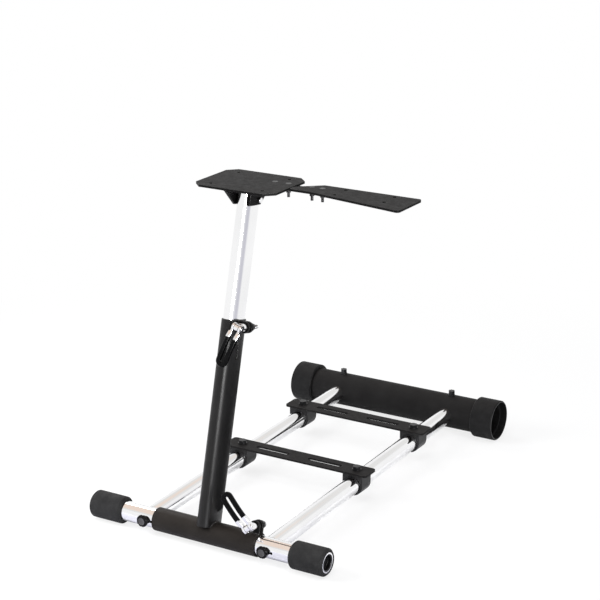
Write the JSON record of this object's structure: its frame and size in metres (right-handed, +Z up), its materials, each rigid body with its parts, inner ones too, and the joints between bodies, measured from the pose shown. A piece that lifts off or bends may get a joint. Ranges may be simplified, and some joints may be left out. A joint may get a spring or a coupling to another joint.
{
  "type": "racing wheel stand",
  "caption": "Foldable floor stand for a racing wheel, pedals and shifter: rail base, tilting post and sliding mast held by cam-lever clamps, level wheel and shifter plates.",
  "frame": {"origin": "middle of the footprint on the floor, with the clamps closed", "axes": "+X is the driver's right, +Y points from the driver along the rails, +Z is up"},
  "size_m": [0.535, 0.7524, 0.604],
  "materials": {
    "chrome": "bright chrome plate",
    "black_coat": "satin black coat",
    "soft_foot": "matte soft sleeve",
    "black_plastic": "matte",
    "black_grip": "glossy",
    "black_steel": "black oxide"
  },
  "bodies": {
    "base": {"front_cross_tube": "chrome", "left_front_foot": "soft_foot", "right_front_foot": "soft_foot", "left_tube_plug": "black_plastic", "right_tube_plug": "black_plastic", "left_rail": "chrome", "right_rail": "chrome", "left_rail_knob": "black_plastic", "right_rail_knob": "black_plastic", "rear_cross_tube": "black_coat", "left_rear_sleeve": "soft_foot", "right_rear_sleeve": "soft_foot", "left_rail_bolt": "black_steel", "right_rail_bolt": "black_steel", "front_pedal_bar": "black_coat", "rear_pedal_bar": "black_coat", "front_left_rail_collar": "black_plastic", "front_right_rail_collar": "black_plastic", "rear_left_rail_collar": "black_plastic", "rear_right_rail_collar": "black_plastic"},
    "post": {"pivot_sleeve": "black_coat", "lower_post": "black_coat", "upper_front_ear": "black_coat", "upper_rear_ear": "black_coat", "lower_front_ear": "black_coat", "lower_rear_ear": "black_coat", "upper_eye_bolt": "chrome", "lower_eye_bolt": "chrome", "upper_cam_seat": "chrome", "lower_cam_seat": "chrome", "upper_clamp_nut": "black_steel", "lower_clamp_nut": "black_steel"},
    "mast": {"mast_tube": "chrome", "left_head_gusset": "black_coat", "right_head_gusset": "black_coat", "head_bolt": "chrome", "wheel_plate": "black_coat", "shifter_arm": "black_coat", "shifter_plate": "black_coat"},
    "upper_lever": {"upper_lever_pin": "chrome", "upper_lever_fork": "chrome", "upper_lever_grip": "black_grip"},
    "lower_lever": {"lower_lever_pin": "chrome", "lower_lever_fork": "chrome", "lower_lever_grip": "black_grip"}
  },
  "joints": [
    {"name": "post_tilt", "type": "hinge", "parent": "base", "child": "post", "pos_m": [-0.0325, -0.34475, 0.024], "axis": [-1, 0, 0], "range_deg": [-14, 50]},
    {"name": "mast_height", "type": "slide", "parent": "post", "child": "mast", "axis": [0, 0.2419, 0.9703], "range_m": [-0.15, 0.08]},
    {"name": "upper_lever_open", "type": "hinge", "parent": "post", "child": "upper_lever", "pos_m": [-0.0065, -0.2864, 0.37583], "axis": [-0.9703, 0.0585, 0.2347], "range_deg": [0, 110]},
    {"name": "lower_lever_open", "type": "hinge", "parent": "post", "child": "lower_lever", "pos_m": [0.0605, -0.3649, 0.06097], "axis": [0.7431, 0.1619, 0.6493], "range_deg": [0, 110]}
  ]
}
